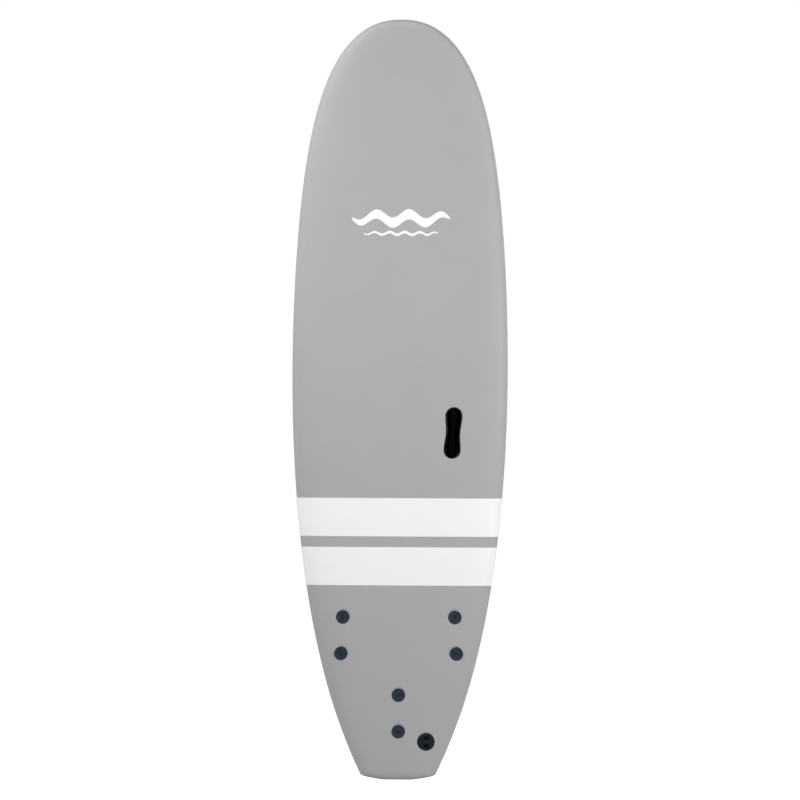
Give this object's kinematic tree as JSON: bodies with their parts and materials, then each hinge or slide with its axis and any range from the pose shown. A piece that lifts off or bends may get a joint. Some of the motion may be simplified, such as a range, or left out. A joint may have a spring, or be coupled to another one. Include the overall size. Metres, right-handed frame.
{
  "type": "surfboard",
  "caption": "Foam-topped surfboard with a squash tail, stringered foam core, slick bottom, bolt-through thruster fins, recessed grip handle and leash plug.",
  "frame": {"origin": "middle of the flat end of the tail", "axes": "+Z along the board from tail to nose, +Y out of the bottom on the fins' side, so the deck faces -Y, and +X to the right as the deck is seen with the nose up"},
  "size_m": [0.563, 0.2415, 1.981],
  "materials": {
    "grey_foam": "matte",
    "white_film": "satin",
    "core_foam": "matte",
    "slick_sheet": "satin",
    "stringer_wood": "matte",
    "black_plastic": "gloss",
    "fin_plastic": "satin",
    "bolt_plastic": "satin",
    "seal_rubber": "matte",
    "insert_brass": "polished",
    "stainless_steel": "satin"
  },
  "bodies": {
    "board": {"core_plank_outer_left": "core_foam", "core_plank_inner_left": "core_foam", "core_plank_inner_right": "core_foam", "core_plank_outer_right": "core_foam", "stringer_left": "stringer_wood", "stringer_centre": "stringer_wood", "stringer_right": "stringer_wood", "deck_skin": "grey_foam", "bottom_slick": "slick_sheet", "bottom_foam": "core_foam", "deck_band_rear": "white_film", "deck_band_front": "white_film", "emblem_wave": "white_film", "emblem_underline": "white_film", "bolt_left_front_sleeve": "black_plastic", "bolt_left_rear_sleeve": "black_plastic", "bolt_right_front_sleeve": "black_plastic", "bolt_right_rear_sleeve": "black_plastic", "bolt_centre_front_sleeve": "black_plastic", "bolt_centre_rear_sleeve": "black_plastic", "handle_cup": "black_plastic", "leash_plug": "black_plastic", "leash_backing_disc": "black_plastic", "leash_screw": "stainless_steel"},
    "fin_left": {"fin_left": "fin_plastic", "fin_left_insert_front": "insert_brass", "fin_left_insert_rear": "insert_brass"},
    "bolt_left_front_seal": {"bolt_left_front_seal": "seal_rubber"},
    "bolt_left_front": {"bolt_left_front": "bolt_plastic"},
    "bolt_left_rear_seal": {"bolt_left_rear_seal": "seal_rubber"},
    "bolt_left_rear": {"bolt_left_rear": "bolt_plastic"},
    "fin_right": {"fin_right": "fin_plastic", "fin_right_insert_front": "insert_brass", "fin_right_insert_rear": "insert_brass"},
    "bolt_right_front_seal": {"bolt_right_front_seal": "seal_rubber"},
    "bolt_right_front": {"bolt_right_front": "bolt_plastic"},
    "bolt_right_rear_seal": {"bolt_right_rear_seal": "seal_rubber"},
    "bolt_right_rear": {"bolt_right_rear": "bolt_plastic"},
    "fin_centre": {"fin_centre": "fin_plastic", "fin_centre_insert_front": "insert_brass", "fin_centre_insert_rear": "insert_brass"},
    "bolt_centre_front_seal": {"bolt_centre_front_seal": "seal_rubber"},
    "bolt_centre_front": {"bolt_centre_front": "bolt_plastic"},
    "bolt_centre_rear_seal": {"bolt_centre_rear_seal": "seal_rubber"},
    "bolt_centre_rear": {"bolt_centre_rear": "bolt_plastic"}
  },
  "joints": [
    {"name": "fin_left_release", "type": "slide", "parent": "board", "child": "fin_left", "axis": [0, 0.9982, -0.0604], "range_m": [0, 0.03]},
    {"name": "bolt_left_front_travel", "type": "slide", "parent": "board", "child": "bolt_left_front_seal", "axis": [0, -0.9982, 0.0604], "range_m": [0, 0.012]},
    {"name": "bolt_left_front_turn", "type": "hinge", "parent": "bolt_left_front_seal", "child": "bolt_left_front", "pos_m": [-0.14626, -0.01009, 0.42339], "axis": [0, -0.9982, 0.0604], "range_deg": [0, 2160]},
    {"name": "bolt_left_rear_travel", "type": "slide", "parent": "board", "child": "bolt_left_rear_seal", "axis": [0, -0.9982, 0.0604], "range_m": [0, 0.012]},
    {"name": "bolt_left_rear_turn", "type": "hinge", "parent": "bolt_left_rear_seal", "child": "bolt_left_rear", "pos_m": [-0.15074, -0.00959, 0.32829], "axis": [0, -0.9982, 0.0604], "range_deg": [0, 2160]},
    {"name": "fin_right_release", "type": "slide", "parent": "board", "child": "fin_right", "axis": [0, 0.9982, -0.0604], "range_m": [0, 0.03]},
    {"name": "bolt_right_front_travel", "type": "slide", "parent": "board", "child": "bolt_right_front_seal", "axis": [0, -0.9982, 0.0604], "range_m": [0, 0.012]},
    {"name": "bolt_right_front_turn", "type": "hinge", "parent": "bolt_right_front_seal", "child": "bolt_right_front", "pos_m": [0.14626, -0.01009, 0.42339], "axis": [0, -0.9982, 0.0604], "range_deg": [0, 2160]},
    {"name": "bolt_right_rear_travel", "type": "slide", "parent": "board", "child": "bolt_right_rear_seal", "axis": [0, -0.9982, 0.0604], "range_m": [0, 0.012]},
    {"name": "bolt_right_rear_turn", "type": "hinge", "parent": "bolt_right_rear_seal", "child": "bolt_right_rear", "pos_m": [0.15074, -0.00959, 0.32829], "axis": [0, -0.9982, 0.0604], "range_deg": [0, 2160]},
    {"name": "fin_centre_release", "type": "slide", "parent": "board", "child": "fin_centre", "axis": [0, 0.9958, -0.092], "range_m": [0, 0.03]},
    {"name": "bolt_centre_front_travel", "type": "slide", "parent": "board", "child": "bolt_centre_front_seal", "axis": [0, -0.9958, 0.092], "range_m": [0, 0.012]},
    {"name": "bolt_centre_front_turn", "type": "hinge", "parent": "bolt_centre_front_seal", "child": "bolt_centre_front", "pos_m": [0, -0.01549, 0.22005], "axis": [0, -0.9958, 0.092], "range_deg": [0, 2160]},
    {"name": "bolt_centre_rear_travel", "type": "slide", "parent": "board", "child": "bolt_centre_rear_seal", "axis": [0, -0.9958, 0.092], "range_m": [0, 0.012]},
    {"name": "bolt_centre_rear_turn", "type": "hinge", "parent": "bolt_centre_rear_seal", "child": "bolt_centre_rear", "pos_m": [0, -0.01789, 0.12486], "axis": [0, -0.9958, 0.092], "range_deg": [0, 2160]}
  ],
  "couplings": [
    {"joint": "bolt_left_front_turn", "follows": "bolt_left_front_travel", "rad_per_m": 3141.6},
    {"joint": "bolt_left_rear_turn", "follows": "bolt_left_rear_travel", "rad_per_m": 3141.6},
    {"joint": "bolt_right_front_turn", "follows": "bolt_right_front_travel", "rad_per_m": 3141.6},
    {"joint": "bolt_right_rear_turn", "follows": "bolt_right_rear_travel", "rad_per_m": 3141.6},
    {"joint": "bolt_centre_front_turn", "follows": "bolt_centre_front_travel", "rad_per_m": 3141.6},
    {"joint": "bolt_centre_rear_turn", "follows": "bolt_centre_rear_travel", "rad_per_m": 3141.6}
  ]
}
